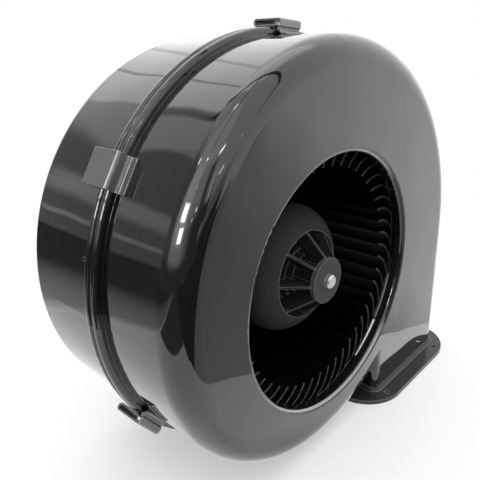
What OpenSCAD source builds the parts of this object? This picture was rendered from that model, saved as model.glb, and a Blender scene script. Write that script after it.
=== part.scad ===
// Centrifugal scroll blower with its motor, an assembly of separate parts.
// Millimetres. The mounting plate's underside lies on Z = 0, the screw pattern is centred on the origin,
// the outlet points down and the fan axis runs along Y with the inlet facing -Y.

/* [Scroll housing] */
// Radius of the inlet throat
inlet_r = 73; // [66:0.5:78]
// Roll radius of the inlet lip
bell_r = 3; // [2.5:0.5:7]
// Straight length of the lip behind the roll
lip_len = 3.5; // [0.5:0.1:5]
// Moulded wall thickness
wall = 2.5; // [2:0.1:3.2]
// Depth from the front face to the rear face
housing_depth = 118; // [112:0.5:130]
// Depth from the front face to the split between the halves
split_depth = 57; // [45:0.5:66]
// Corner radius round the front face
front_round = 13; // [8:0.5:18]
// Corner radius round the rear face
rear_round = 5; // [3.5:0.5:9]
// Scroll radius from the right side to the top
arc_a_r = 134; // [130:0.5:145]
// Scroll radius from the top to the left side
arc_b_r = 122.5; // [118:0.5:126]
// Scroll radius from the left side to the bottom
arc_c_r = 107; // [104:0.5:110]
// Scroll radius from the bottom to the tongue
arc_d_r = 125; // [115:0.5:138]
// First arc's centre to the right of the fan axis
arc_a_x = 5.5; // [2:0.5:9]
// First arc's centre below the fan axis
arc_a_drop = 3.5; // [0:0.5:6]
// Width of the outlet duct across the outside
outlet_width = 91.5; // [84:0.5:98]
// Corner radius at the duct's front left edge
outlet_round = 4; // [4:0.5:9]
// Width of the stiffening ribs on the rear face
rear_rib_w = 2; // [1.5:0.1:3]
// Height of the stiffening ribs
rear_rib_h = 1.6; // [1:0.1:2.5]
// Radius where the stiffening ribs end
rear_rib_r = 90; // [80:0.5:92]
// Radius of the moulding gate's mark
gate_r = 1; // [0.6:0.1:1.6]
// Height of the gate's mark
gate_h = 0.3; // [0.2:0.1:0.6]
// Turn of the gate's mark about the arc it sits on
gate_at = 166; // [155:0.5:179]
// Depth of the gate's mark
gate_depth = 67.5; // [64:0.5:80]

/* [Joint and clips] */
// Width of the bead on each half at the split
bead_w = 4.8; // [4:0.1:6]
// Height of the bead
bead_h = 4.3; // [3.6:0.1:5.5]
// Thickness of the clip sheet
clip_t = 1; // [0.7:0.1:1.2]
// Width of a clip along the joint
clip_w = 17.5; // [12:0.5:24]
// Gap between the two legs of a clip's folded plate
clip_fold = 2.2; // [1.6:0.1:3]
// Distance that the plate reaches behind the joint
clip_reach = 12.4; // [10:0.2:16]
// Gap between the clip's front leg and the bead
clip_stand = 1.7; // [1.3:0.1:2.2]
// Length of the clip's foot
clip_foot = 3; // [2:0.1:5]
// Radius of the small hole in a clip
clip_hole_r = 0.5; // [0.4:0.1:1.2]
// Turn of the top clip about its arc
clip_top_at = 83.3; // [75:0.1:88]
// Turn of the left clip about its arc
clip_left_at = 146.2; // [130:0.1:160]
// Turn of the low left clip about its arc
clip_low_at = 216; // [205:0.1:228]
// Turn of the right clip about its arc
clip_right_at = 22; // [10:0.1:40]
// Outlet clip's distance below the first arc's centre
clip_outlet_drop = 52; // [40:0.5:60]

/* [Outlet flange] */
// Height of the scroll's lowest wall above the plate's underside
floor_gap = 5; // [4.6:0.1:12]
// Plate thickness
flange_t = 3; // [2:0.1:4]
// Plate width across the duct
flange_w = 117; // [114:0.5:128]
// Plate margin in front of and behind the duct
flange_margin = 12; // [10:0.5:16]
// Distance from the duct's centre to the plate's centre
flange_shift = 4.75; // [3:0.25:6]
// Plate corner radius
flange_round = 28; // [20:0.5:32]
// Radius of the fillet at the duct's foot
foot_r = 2; // [1.4:0.1:3]
// Thickness of the fillet's thin edges
foot_edge = 0.2; // [0.15:0.05:0.4]
// Radius of the screw holes
flange_hole_r = 2.1; // [1.6:0.1:2.6]
// Distance between screw holes along the width
hole_span_x = 72; // [66:0.5:76]
// Screw hole distance from the plate's edge
hole_edge = 5.7; // [5:0.1:6.5]

/* [Wheel] */
// Number of blades
blade_count = 48; // [36:1:56]
// Outer radius of the blades
wheel_r = 80; // [77:0.5:82]
// Radial depth of the blades
blade_depth = 15.4; // [12:0.1:16.5]
// Blade thickness
blade_t = 0.9; // [0.8:0.1:1.5]
// Curve radius of a blade
blade_curve = 20; // [19:0.5:26]
// Forward lean of a blade from the radius at its inner edge
blade_lean = 16; // [8:0.5:19]
// Depth of the blades' front edge
wheel_front = 12; // [10:0.1:14]
// Gap between the back plate and the housing's rear wall
wheel_gap = 9; // [7:0.5:14]
// Back plate thickness
plate_t = 2.5; // [1.5:0.1:3]
// Radial thickness of the rim round the blade tips
rim_t = 0.8; // [0.6:0.1:1.5]
// Length of the front rim behind the blades' front edge
rim_len = 5; // [3:0.5:8]
// Distance that the front rim stands in front of the blades
rim_proud = 0.6; // [0.3:0.1:1.2]
// Outer radius of the hub cup
cup_r = 39; // [38:0.5:44]
// Thickness of the cup
cup_t = 2; // [1.5:0.1:2.4]
// Depth where the cup's dome begins
cup_front = 40; // [38:0.5:44]
// Radius of the opening in the dome
hub_open_r = 26.2; // [25:0.2:28]
// Dome's rounding radius
dome_r = 18.8; // [17.8:0.2:20]
// Radius of the nose disc
nose_r = 13.3; // [12:0.1:15]
// Depth of the nose disc's front
nose_front = 8; // [7:0.1:9]
// Nose disc thickness
nose_t = 2.5; // [2:0.1:3]
// Radius of the hub boss
boss_r = 8.5; // [7.5:0.1:10]
// Depth of the hub floor
floor_front = 34; // [32:0.5:35]
// Narrowing of the hub's recess from its edge to its floor
hub_draft = 3; // [2:0.1:4]
// Hub floor thickness
floor_t = 2; // [1.5:0.1:2.5]
// Rib thickness
rib_t = 1.3; // [1:0.1:2]
// Turn of the first rib
rib_at = -1.5; // [-10:0.5:10]

/* [Motor] */
// Shaft radius
shaft_r = 4; // [3.5:0.05:4.5]
// Depth of the shaft's front tip
shaft_tip = 4.8; // [4:0.1:6]
// Chamfer at the shaft tip
shaft_chamfer = 0.8; // [0.4:0.1:1.2]
// Running clearance round the shaft
run_gap = 0.03; // [0.02:0.01:0.08]
// Outer radius of the can
can_r = 34.5; // [33.5:0.1:35]
// Wall of the can
can_t = 2; // [1.5:0.1:2.2]
// Depth of the can's front
can_front = 42; // [41:0.5:44]
// Magnet thickness
magnet_t = 6.4; // [5:0.1:7]
// Distance that the magnets reach past each end of the core
magnet_over = 2; // [0:0.5:4]
// Arc that a magnet covers
magnet_arc = 120; // [100:1:130]
// Air gap between the core and the magnets
air_gap = 0.7; // [0.5:0.05:1]
// Length of the copper end turns
turn_len = 6; // [5:0.1:6]
// Gap between the end turns and the commutator
turn_gap = 5.1; // [3:0.1:7]
// Depth of the core's front
core_front = 54; // [53:0.5:56]
// Number of slots in the core
slot_count = 12; // [8:1:14]
// Radius of a slot
slot_r = 2.6; // [2.2:0.1:2.9]
// Radius of the bearing sleeves outside
bush_r = 8; // [7:0.1:9]
// Length of a bearing sleeve
bush_len = 8; // [6:0.5:9]
// Commutator radius
comm_r = 12; // [11:0.1:13]
// Commutator length
comm_len = 14; // [12:0.5:15]
// Number of commutator bars
comm_bars = 12; // [8:1:14]
// Clearance between a brush and the commutator
brush_gap = 0.05; // [0.03:0.01:0.08]
// Brush width along the commutator's edge
brush_w = 5; // [4:0.1:6]
// Brush width along the shaft
brush_h = 6; // [5:0.1:7]
// Brush length
brush_len = 11; // [9:0.5:12]
// Sheet thickness of the brush holders
holder_t = 0.8; // [0.6:0.1:1]
// Length of a brush holder
holder_len = 14; // [13:0.5:15]
// Mounting ring's outer radius
mount_r = 51; // [49:0.5:54]
// Mounting ring thickness
mount_t = 2; // [1.5:0.1:3]
// Gasket thickness
gasket_t = 1.5; // [1:0.1:2.5]
// Thickness of the thrust washers
washer_t = 0.7; // [0.5:0.1:0.8]
// End play between a washer and its bearing
washer_gap = 0.3; // [0.2:0.05:0.4]
// Circle radius of the motor screws
screw_ring = 43.5; // [42.5:0.5:45]
// Radius of a motor screw
screw_r = 2.2; // [1.8:0.1:2.5]
// Length of a motor screw under its head
screw_len = 10; // [8:0.5:11]
// Depth of the end cap behind the mounting ring
cap_len = 13.5; // [12.5:0.5:18]
// End cap wall
cap_t = 2.2; // [1.8:0.1:3]
// Thickness of the brush card
card_t = 1.6; // [1.2:0.1:2]
// Radius of the through bolts
bolt_r = 1.6; // [1.3:0.1:1.8]
// Plug socket width, height and depth
socket_w = 20; // [18:0.5:24]
// Plug socket height
socket_h = 12; // [11:0.5:14]
// Plug socket length
socket_len = 12; // [10:0.5:16]
// Plug socket wall
socket_t = 1.5; // [1.2:0.1:2]
// Distance from the shaft to the plug socket
socket_at = 19; // [17.5:0.5:21]
// Contact blade width
pin_w = 4.8; // [4:0.1:6.3]
// Contact blade thickness
pin_t = 0.8; // [0.5:0.1:1]
// Gap round the can in the rear half
can_gap = 1.5; // [1:0.1:2]

/* [Hidden] */
$fn = 96;
eps = 0.5;
rib_count = 8;
arc_a_c = [arc_a_x, -arc_a_drop];
arc_b_c = [arc_a_x, arc_a_c[1] + arc_a_r - arc_b_r];
arc_c_c = [arc_a_x + arc_c_r - arc_b_r, arc_b_c[1]];
arc_d_c = [arc_c_c[0], arc_c_c[1] + arc_d_r - arc_c_r];
axis_height = arc_c_r - arc_c_c[1] + floor_gap;
right_x = arc_a_x + arc_a_r;
outlet_x = right_x - outlet_width;
flange_x = right_x - outlet_width / 2 - flange_shift;
flange_top = flange_t - axis_height;
flange_y = housing_depth / 2;
hole_span_y = housing_depth + 2 * (flange_margin - hole_edge);
bead_end = flange_top + foot_r + 1;
blade_in_r = wheel_r - blade_depth;
wheel_back = housing_depth - wall - wheel_gap;
cup_in_r = cup_r - cup_t;
dome_x = cup_r - dome_r;
open_front = cup_front - sqrt(pow(dome_r, 2) - pow(hub_open_r - dome_x, 2));
floor_back = floor_front + floor_t;
floor_r = hub_open_r - hub_draft;
can_in_r = can_r - can_t;
magnet_in_r = can_in_r - magnet_t;
core_r = magnet_in_r - air_gap;
motor_hole_r = can_r + can_gap;
mount_front = housing_depth + gasket_t;
mount_back = mount_front + mount_t;
card_front = mount_back + 0.6;
comm_back = card_front - 1;
comm_front = comm_back - comm_len;
core_len = comm_front - turn_gap - turn_len - core_front;
magnet_len = core_len + 2 * magnet_over;
brush_mid = (comm_front + comm_back) / 2;
cap_back = mount_back + cap_len;
rear_bush_front = cap_back - bush_len;
shaft_end = cap_back + 0.5;
boss_out_r = bush_r + 2.2;
can_boss_front = can_front - 3;
front_bush_front = can_boss_front + 1;
front_bush_back = front_bush_front + bush_len - 1;
bolt_ring = (can_in_r + magnet_in_r) / 2;
slot_ring = core_r - slot_r - 0.6;
clip_top_n = bead_h + 2 * clip_t + clip_fold;
screw_boss_len = screw_len - gasket_t - mount_t - wall + 1;

// Turns a part drawn as seen from the inlet, with depth along -Z, into the shared frame.
module place() {
    translate([-flange_x, -flange_y, axis_height])
        rotate([90, 0, 0])
            children();
}

// Round bar between two depths.
module rod(r, d0, d1) {
    translate([0, 0, -d1])
        cylinder(r = r, h = d1 - d0);
}

// Tube between two depths.
module tube(r_in, r_out, d0, d1) {
    translate([0, 0, -d1])
        linear_extrude(height = d1 - d0)
            difference() {
                circle(r = r_out);
                circle(r = r_in);
            }
}

// Flat shape between two depths.
module slab(d0, d1) {
    translate([0, 0, -d1])
        linear_extrude(height = d1 - d0)
            children();
}

// Cuts an outside corner to a radius, drawn for the corner towards +X +Y.
module corner_cut(rad) {
    translate([-rad, -rad])
        difference() {
            square([rad + 2, rad + 2]);
            circle(r = rad);
        }
}

// Filled section of the scroll from its arc centre outwards, depth along -Y.
module scroll_section(r, d0, d1, rad_front, rad_rear) {
    difference() {
        translate([0, -d1])
            square([r, d1 - d0]);
        if (rad_front > 0)
            translate([r, -d0])
                corner_cut(rad_front);
        if (rad_rear > 0)
            translate([r, -d1])
                mirror([0, 1])
                    corner_cut(rad_rear);
    }
}

// Section of the outlet duct, grown outwards by o, depth along -Y.
module duct_section(o) {
    x0 = outlet_x - o;
    x1 = right_x + o;
    difference() {
        translate([x0, -housing_depth - o])
            square([x1 - x0, housing_depth + 2 * o]);
        translate([x1, o])
            corner_cut(front_round + o);
        translate([x0, o])
            mirror([1, 0])
                corner_cut(outlet_round + o);
        translate([x1, -housing_depth - o])
            mirror([0, 1])
                corner_cut(rear_round + o);
        translate([x0, -housing_depth - o])
            mirror([0, 1])
                mirror([1, 0])
                    corner_cut(rear_round + o);
    }
}

// Sweeps a section round one quarter of the scroll.
module quarter(centre, start) {
    translate([centre[0], centre[1], 0])
        rotate([0, 0, start])
            rotate_extrude(angle = 90)
                children();
}

// Filled scroll and outlet between two depths, drawn in by o.
module scroll_fill(o, d0, d1, rad_front, rad_rear, outlet_end) {
    quarter(arc_a_c, 0)
        scroll_section(arc_a_r - o, d0, d1, rad_front, rad_rear);
    quarter(arc_b_c, 90)
        scroll_section(arc_b_r - o, d0, d1, rad_front, rad_rear);
    quarter(arc_c_c, 180)
        scroll_section(arc_c_r - o, d0, d1, rad_front, rad_rear);
    quarter(arc_d_c, 270)
        scroll_section(arc_d_r - o, d0, d1, rad_front, rad_rear);
    translate([0, arc_a_c[1], 0])
        rotate([90, 0, 0])
            linear_extrude(height = arc_a_c[1] - outlet_end)
                intersection() {
                    duct_section(-o);
                    translate([0, -d1])
                        square([2 * right_x, d1 - d0]);
                }
}

// Section of a joint bead on a wall of radius r, between the split and the far side of the bead.
module bead_section(r, d0) {
    half = bead_w / 2;
    translate([r - 1, -d0 - bead_w])
        square([1 + bead_h - half, bead_w]);
    translate([r + bead_h - half, -d0 - half])
        circle(r = half);
}

// Joint bead all round the scroll and down the outlet's right wall.
module bead_ring(d0) {
    quarter(arc_a_c, 0)
        bead_section(arc_a_r, d0);
    quarter(arc_b_c, 90)
        bead_section(arc_b_r, d0);
    quarter(arc_c_c, 180)
        bead_section(arc_c_r, d0);
    quarter(arc_d_c, 270)
        bead_section(arc_d_r, d0);
    translate([arc_a_c[0], arc_a_c[1], 0])
        rotate([90, 0, 0])
            linear_extrude(height = arc_a_c[1] - bead_end)
                bead_section(arc_a_r, d0);
}

// Section of the rolled inlet lip.
module lip_section() {
    intersection() {
        translate([inlet_r + bell_r, -bell_r])
            difference() {
                circle(r = bell_r);
                circle(r = max(bell_r - wall, eps));
            }
        translate([inlet_r - 1, -bell_r])
            square([bell_r + 1, bell_r + 1]);
    }
    translate([inlet_r + bell_r, -wall])
        square([2, wall]);
    translate([inlet_r, -bell_r - lip_len])
        square([wall, lip_len]);
}

// Front half of the moulded scroll.
module front_scroll_half() {
    color([0.16, 0.16, 0.17])
        place() {
            difference() {
                union() {
                    scroll_fill(0, 0, split_depth, front_round, 0, flange_top);
                    bead_ring(split_depth - bead_w);
                }
                scroll_fill(wall, wall, split_depth + 2, front_round - wall, 0, flange_top - 5);
                rod(inlet_r + bell_r, -2, wall + 2);
            }
            rotate_extrude()
                lip_section();
        }
}

// Rear half of the moulded scroll with the motor opening.
module rear_scroll_half() {
    inner_back = housing_depth - wall;
    color([0.15, 0.15, 0.16])
        place()
            difference() {
                union() {
                    difference() {
                        union() {
                            scroll_fill(0, split_depth, housing_depth, 0, rear_round, flange_top);
                            bead_ring(split_depth);
                        }
                        scroll_fill(wall, split_depth - 2, inner_back, 0, rear_round - wall, flange_top - 5);
                    }
                    for (a = [90, 210, 330])
                        rotate([0, 0, a])
                            translate([screw_ring, 0, 0])
                                rod(screw_r + 2.6, inner_back - screw_boss_len, inner_back + 1);
                    for (a = [0 : 60 : 300])
                        rotate([0, 0, a])
                            translate([mount_r + 1, -rear_rib_w / 2, -housing_depth - rear_rib_h])
                                cube([rear_rib_r - mount_r - 1, rear_rib_w, rear_rib_h + 1]);
                    translate([arc_b_c[0], arc_b_c[1], -gate_depth])
                        rotate([0, 0, gate_at])
                            translate([arc_b_r - 1, 0, 0])
                                rotate([0, 90, 0])
                                    cylinder(r = gate_r, h = gate_h + 1);
                }
                rod(motor_hole_r, inner_back - 2 * screw_len, housing_depth + screw_len);
                for (a = [90, 210, 330])
                    rotate([0, 0, a])
                        translate([screw_ring, 0, 0])
                            rod(screw_r, inner_back - 2 * screw_len, housing_depth + screw_len);
            }
}

// Section of the fillet at the duct's foot: outwards along X, up along Y.
module foot_section() {
    difference() {
        translate([0, -foot_edge])
            square([foot_r, foot_r + foot_edge]);
        translate([foot_r + foot_edge, foot_r + foot_edge])
            circle(r = foot_r);
    }
}

// Straight run of the fillet from the origin along -Z.
module foot_run(len) {
    translate([0, 0, -len])
        linear_extrude(height = len)
            foot_section();
}

// Quarter turn of the fillet round a duct corner of radius r.
module foot_turn(r) {
    rotate([-90, 0, 0])
        rotate_extrude(angle = 90)
            translate([r, 0])
                foot_section();
}

// Fillet round the duct, drawn with the plate's top at Y = 0 and depth along -Z.
module foot_ring() {
    x0 = outlet_x;
    x1 = right_x;
    translate([x1, 0, -front_round])
        foot_run(housing_depth - front_round - rear_round);
    translate([x0, 0, -housing_depth + rear_round])
        rotate([0, 180, 0])
            foot_run(housing_depth - outlet_round - rear_round);
    translate([x0 + outlet_round, 0, 0])
        rotate([0, -90, 0])
            foot_run(outlet_width - outlet_round - front_round);
    translate([x1 - rear_round, 0, -housing_depth])
        rotate([0, 90, 0])
            foot_run(outlet_width - 2 * rear_round);
    translate([x1 - front_round, 0, -front_round])
        rotate([0, 270, 0])
            foot_turn(front_round);
    translate([x0 + outlet_round, 0, -outlet_round])
        rotate([0, 180, 0])
            foot_turn(outlet_round);
    translate([x0 + rear_round, 0, -housing_depth + rear_round])
        rotate([0, 90, 0])
            foot_turn(rear_round);
    translate([x1 - rear_round, 0, -housing_depth + rear_round])
        foot_turn(rear_round);
}

// Outlet plate with a fillet round the duct.
module outlet_flange() {
    w = flange_w / 2;
    h = flange_y + flange_margin;
    color([0.12, 0.12, 0.13])
        place() {
            translate([0, flange_top, 0])
                rotate([90, 0, 0])
                    linear_extrude(height = flange_t)
                        difference() {
                            translate([flange_x, -flange_y])
                                difference() {
                                    square([2 * w, 2 * h], center = true);
                                    for (i = [0, 1])
                                        for (j = [0, 1])
                                            mirror([i, 0])
                                                mirror([0, j])
                                                    translate([w, h])
                                                        corner_cut(flange_round);
                                    for (i = [-0.5, 0.5])
                                        for (j = [-0.5, 0.5])
                                            translate([i * hole_span_x, j * hole_span_y])
                                                circle(r = flange_hole_r);
                                }
                            duct_section(-wall);
                        }
            translate([0, flange_top, 0])
                foot_ring();
        }
}

// Quarter ring of clip sheet about the origin, from +X round to +Y.
module sheet_bend(r_in) {
    intersection() {
        difference() {
            circle(r = r_in + clip_t);
            circle(r = r_in);
        }
        square([r_in + clip_t + 1, r_in + clip_t + 1]);
    }
}

// Section of a clip: distance from the wall along X, depth along -Y.
module clip_section() {
    bead_front = split_depth - bead_w;
    leg_out = bead_front - clip_stand - clip_t;
    plate_back = split_depth + clip_reach;
    fold_r = clip_fold / 2;
    top_in = clip_top_n - clip_t;
    bend_r = clip_t;
    bend_n = top_in - bend_r;
    fold_n = bead_h + clip_t + fold_r;
    heel_r = clip_t;
    ridge_n = heel_r + 2.2 * clip_t;
    // top plate
    translate([top_in, -plate_back + fold_r + clip_t])
        square([clip_t, plate_back - fold_r - 2 * clip_t - leg_out - bend_r]);
    // folded back edge
    translate([fold_n, -plate_back + fold_r + clip_t])
        intersection() {
            difference() {
                circle(r = fold_r + clip_t);
                circle(r = fold_r);
            }
            translate([-2 * clip_top_n, -4 * clip_top_n])
                square([4 * clip_top_n, 4 * clip_top_n]);
        }
    // spring tongue on the beads
    translate([bead_h, -plate_back + fold_r + clip_t])
        square([clip_t, plate_back - fold_r - 2 * clip_t - bead_front]);
    // front bend
    translate([bend_n, -leg_out - clip_t - bend_r])
        sheet_bend(bend_r);
    // front leg with its pressed ridge
    difference() {
        union() {
            translate([heel_r + clip_t, -leg_out - clip_t])
                square([bend_n - heel_r - clip_t, clip_t]);
            translate([ridge_n, -leg_out - clip_t])
                circle(r = clip_stand);
        }
        translate([ridge_n, -leg_out + 0.2 * clip_t])
            circle(r = 1.1 * clip_t);
        translate([ridge_n - 2 * clip_stand, -leg_out])
            square([4 * clip_stand, 4 * clip_stand]);
    }
    // flared foot on the wall
    translate([heel_r + clip_t, -leg_out + heel_r])
        mirror([1, 0])
            mirror([0, 1])
                sheet_bend(heel_r);
    translate([0, -leg_out + heel_r])
        square([clip_t, clip_foot]);
}

// One clip on a wall at distance r from the local origin, centred across.
module clip_body(r) {
    translate([r, 0, 0])
        difference() {
            translate([0, clip_w / 2, 0])
                rotate([90, 0, 0])
                    linear_extrude(height = clip_w)
                        clip_section();
            translate([clip_top_n - 1.4 * clip_t, 0, -split_depth - 2 * clip_t])
                rotate([0, 90, 0])
                    cylinder(r = clip_hole_r, h = clip_t + 2);
        }
}

// Clip set at a turn about the centre of the arc it sits on.
module clip_on_arc(centre, r, at) {
    color([0.35, 0.35, 0.36])
        place()
            translate([centre[0], centre[1], 0])
                rotate([0, 0, at])
                    clip_body(r);
}

module clip_top() {
    clip_on_arc(arc_a_c, arc_a_r, clip_top_at);
}

module clip_left() {
    clip_on_arc(arc_b_c, arc_b_r, clip_left_at);
}

module clip_low_left() {
    clip_on_arc(arc_c_c, arc_c_r, clip_low_at);
}

module clip_right() {
    clip_on_arc(arc_a_c, arc_a_r, clip_right_at);
}

module clip_outlet() {
    color([0.35, 0.35, 0.36])
        place()
            translate([arc_a_c[0], arc_a_c[1] - clip_outlet_drop, 0])
                clip_body(arc_a_r);
}

// Plan of one forward curved blade along +X.
module blade_plan() {
    intersection() {
        translate([blade_in_r - blade_curve * sin(blade_lean), -blade_curve * cos(blade_lean)])
            difference() {
                circle(r = blade_curve + blade_t / 2);
                circle(r = blade_curve - blade_t / 2);
            }
        translate([blade_in_r, -blade_curve])
            square([wheel_r, blade_curve + blade_t]);
        circle(r = wheel_r + rim_t / 2);
    }
}

// Section of the hub: cup, dome, recess wall, floor and boss, depth along -Y.
module hub_section() {
    // back plate
    translate([cup_in_r, -wheel_back])
        square([wheel_r + rim_t - cup_in_r, plate_t]);
    // cup wall
    translate([cup_in_r, -wheel_back])
        square([cup_t, wheel_back - cup_front]);
    // dome
    intersection() {
        translate([dome_x, -cup_front])
            difference() {
                circle(r = dome_r);
                circle(r = dome_r - cup_t);
            }
        translate([hub_open_r, -cup_front])
            square([cup_r, cup_front]);
    }
    // drafted wall of the recess
    polygon([[hub_open_r, -open_front - 0.8], [hub_open_r + 1.5, -open_front - 1.3],
        [floor_r + 1.8, -floor_back], [floor_r, -floor_back]]);
    // floor
    translate([shaft_r, -floor_back])
        square([floor_r + 0.9 - shaft_r, floor_t]);
    // boss and nose disc
    translate([shaft_r, -floor_back - 1])
        square([boss_r - shaft_r, floor_back + 1 - nose_front]);
    translate([shaft_r, -nose_front - nose_t])
        square([nose_r - shaft_r, nose_t]);
    // stepped rings on the floor
    for (i = [0, 1, 2])
        translate([boss_r + 2.6 + 3.3 * i, -floor_front - eps])
            square([1.2, 10 - 3 * i + eps]);
}

// Plan of one rib in the plane of the fan axis.
module rib_section() {
    polygon([[boss_r - 1, -nose_front - 1], [nose_r - 0.6, -nose_front - 1], [hub_open_r + 0.5, -open_front - 1.8],
        [floor_r + 0.8, -floor_front - 1], [boss_r - 1, -floor_front - 1]]);
}

// Moulded wheel with its blades and hub.
module blower_wheel() {
    color([0.07, 0.07, 0.075])
        place() {
            rotate_extrude()
                hub_section();
            for (i = [0 : rib_count - 1])
                rotate([0, 0, rib_at + i * 360 / rib_count])
                    translate([0, rib_t / 2, 0])
                        rotate([90, 0, 0])
                            linear_extrude(height = rib_t)
                                rib_section();
            tube(wheel_r - 1, wheel_r + rim_t, wheel_front - rim_proud, wheel_front + rim_len);
            for (i = [0 : blade_count - 1])
                rotate([0, 0, i * 360 / blade_count])
                    slab(wheel_front, wheel_back - plate_t + eps)
                        blade_plan();
        }
}

// Motor shaft with a chamfered front tip.
module motor_shaft() {
    color([0.75, 0.75, 0.76])
        place() {
            rotate_extrude()
                polygon([[0, -shaft_tip], [shaft_r - shaft_chamfer, -shaft_tip], [shaft_r, -shaft_tip - shaft_chamfer],
                    [shaft_r, -shaft_end], [0, -shaft_end]]);
        }
}

// Slotted lamination stack.
module armature_core() {
    color([0.45, 0.45, 0.47])
        place()
            slab(core_front, core_front + core_len)
                difference() {
                    circle(r = core_r);
                    circle(r = shaft_r);
                    for (i = [0 : slot_count - 1])
                        rotate([0, 0, i * 360 / slot_count]) {
                            translate([slot_ring, 0])
                                circle(r = slot_r);
                            translate([slot_ring, -0.8])
                                square([10, 1.6]);
                        }
                }
}

// Copper end turns and the bars in the slots.
module armature_winding() {
    color([0.72, 0.42, 0.2])
        place() {
            for (d = [core_front - turn_len, core_front + core_len])
                difference() {
                    tube(shaft_r + 5, slot_ring + slot_r - 0.3, d, d + turn_len);
                    rod(shaft_r + 4, d - 1, d + turn_len + 1);
                }
            for (i = [0 : slot_count - 1])
                rotate([0, 0, i * 360 / slot_count])
                    translate([slot_ring, 0, 0])
                        rod(slot_r - 0.4, core_front - 1, core_front + core_len + 1);
        }
}

// Commutator with slits between its bars.
module commutator() {
    color([0.75, 0.45, 0.22])
        place()
            difference() {
                tube(shaft_r, comm_r, comm_front, comm_back);
                for (i = [0 : comm_bars - 1])
                    rotate([0, 0, (i + 0.5) * 360 / comm_bars])
                        translate([comm_r - 1.2, -0.3, -comm_back - 1])
                            cube([3, 0.6, comm_len - 2]);
            }
}

// Fibre washers that take the end play.
module thrust_washers() {
    color([0.45, 0.3, 0.18])
        place() {
            tube(shaft_r, shaft_r + 3, front_bush_back + washer_gap, front_bush_back + washer_gap + washer_t);
            tube(shaft_r, shaft_r + 3, rear_bush_front - washer_gap - washer_t, rear_bush_front - washer_gap);
        }
}

// Drawn steel can with a bearing boss at its front.
module motor_can() {
    color([0.42, 0.42, 0.44])
        place()
            rotate_extrude() {
                translate([can_in_r, -mount_back])
                    square([can_t, mount_back - can_front]);
                translate([bush_r, -can_front - can_t])
                    square([can_in_r - bush_r + 1, can_t]);
                translate([bush_r, -can_front - can_t])
                    square([boss_out_r - bush_r, can_front + can_t - can_boss_front]);
            }
}

// Two ferrite arcs inside the can.
module field_magnets() {
    color([0.2, 0.19, 0.19])
        place()
            for (a = [-magnet_arc / 2, 180 - magnet_arc / 2])
                rotate([0, 0, a])
                    rotate_extrude(angle = magnet_arc)
                        translate([magnet_in_r, -core_front - core_len / 2 - magnet_len / 2])
                            square([magnet_t, magnet_len]);
}

// Sleeve bearing at the can's front.
module front_bush() {
    color([0.62, 0.47, 0.28])
        place()
            tube(shaft_r + run_gap, bush_r, front_bush_front, front_bush_back);
}

// Sleeve bearing in the end cap.
module rear_bush() {
    color([0.62, 0.47, 0.28])
        place()
            tube(shaft_r + run_gap, bush_r, rear_bush_front, rear_bush_front + bush_len);
}

// Steel mounting ring on the can.
module motor_flange() {
    color([0.5, 0.5, 0.52])
        place()
            slab(mount_front, mount_back)
                difference() {
                    circle(r = mount_r);
                    circle(r = can_r);
                    for (a = [90, 210, 330])
                        rotate([0, 0, a])
                            translate([screw_ring, 0])
                                circle(r = screw_r);
                }
}

// Rubber ring under the mounting ring.
module motor_gasket() {
    color([0.1, 0.1, 0.1])
        place()
            slab(housing_depth, mount_front)
                difference() {
                    circle(r = mount_r - 0.5);
                    circle(r = motor_hole_r);
                    for (a = [90, 210, 330])
                        rotate([0, 0, a])
                            translate([screw_ring, 0])
                                circle(r = screw_r);
                }
}

// Three screws that hold the motor to the rear half.
module motor_screws() {
    color([0.6, 0.6, 0.62])
        place()
            for (a = [90, 210, 330])
                rotate([0, 0, a])
                    translate([screw_ring, 0, 0]) {
                        rod(screw_r, mount_back - screw_len, mount_back + 1);
                        difference() {
                            rod(screw_r * 1.9, mount_back, mount_back + 2.6);
                            translate([0, 0, -mount_back - 3])
                                for (b = [0, 90])
                                    rotate([0, 0, b])
                                        translate([-2.4, -0.5, -1])
                                            cube([4.8, 1, 2.6]);
                        }
                    }
}

// Rear cover with the rear bearing boss.
module end_cap() {
    color([0.1, 0.1, 0.1])
        place()
            difference() {
                rotate_extrude() {
                    translate([can_r - cap_t, -cap_back])
                        square([cap_t, cap_len]);
                    translate([bush_r, -cap_back])
                        square([can_r - bush_r - 1, cap_t]);
                    translate([bush_r, -cap_back - 1])
                        square([boss_out_r - bush_r, bush_len + 1]);
                    translate([0, -cap_back - 3])
                        square([boss_out_r, 2]);
                }
                for (a = [90, 270])
                    rotate([0, 0, a])
                        translate([bolt_ring, 0, 0])
                            rod(bolt_r, mount_back - 2, cap_back + 4);
            }
}

// Insulating board that carries the brush gear.
module brush_card() {
    color([0.5, 0.33, 0.17])
        place()
            slab(card_front, card_front + card_t)
                difference() {
                    circle(r = can_r - cap_t);
                    circle(r = comm_r + 2);
                    for (a = [90, 270])
                        rotate([0, 0, a])
                            translate([bolt_ring, 0])
                                circle(r = bolt_r);
                }
}

// Two sheet brass boxes.
module brush_holders() {
    color([0.78, 0.62, 0.3])
        place()
            for (a = [0, 180])
                rotate([0, 0, a])
                    translate([comm_r + 1.5, 0, -brush_mid]) {
                        difference() {
                            translate([0, -brush_w / 2 - holder_t, -brush_h / 2 - holder_t])
                                cube([holder_len, brush_w + 2 * holder_t, brush_h + 2 * holder_t]);
                            translate([-1, -brush_w / 2, -brush_h / 2])
                                cube([holder_len - holder_t + 1, brush_w, brush_h]);
                        }
                        translate([2, -brush_w / 2, brush_mid - card_front])
                            cube([holder_len - 4, brush_w, card_front - brush_mid - brush_h / 2 - holder_t]);
                    }
}

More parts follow.
